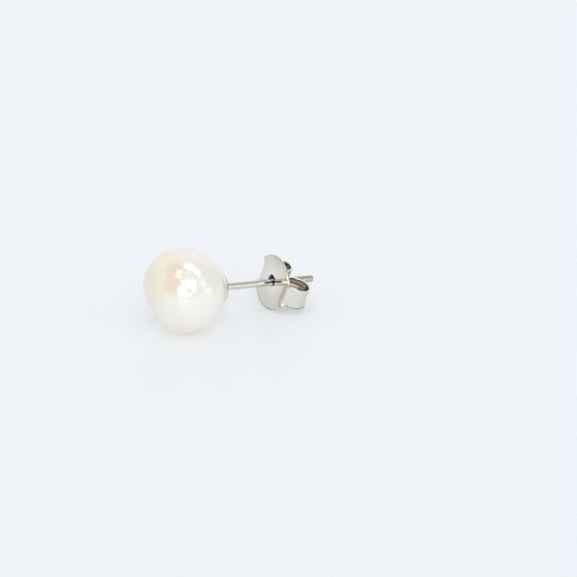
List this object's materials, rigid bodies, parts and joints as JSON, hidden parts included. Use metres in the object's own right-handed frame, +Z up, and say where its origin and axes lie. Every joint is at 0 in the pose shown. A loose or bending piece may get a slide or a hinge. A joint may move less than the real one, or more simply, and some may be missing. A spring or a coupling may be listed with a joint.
{
  "type": "baroque pearl stud earring",
  "caption": "Stud earring: an irregular pearl on a straight post with a shallow cup, held through the ear lobe by a butterfly clutch that slides on the post.",
  "frame": {"origin": "on the surface that the stud lies on, under the middle of its box", "axes": "+X along the ground under the post, from the pearl to the clutch; +Z up from that surface; the near arm of the clutch, the lower one, is on the -Y side"},
  "size_m": [0.0196, 0.0084, 0.0085],
  "materials": {
    "nacre": "polished",
    "silver": "polished"
  },
  "bodies": {
    "stud": {"pearl": "nacre", "ear_post": "silver"},
    "clutch": {"butterfly_back": "silver"}
  },
  "joints": [
    {"name": "clutch_slide", "type": "slide", "parent": "stud", "child": "clutch", "axis": [0.9903, 0, -0.1392], "range_m": [-0.0056, 0.0055]}
  ]
}
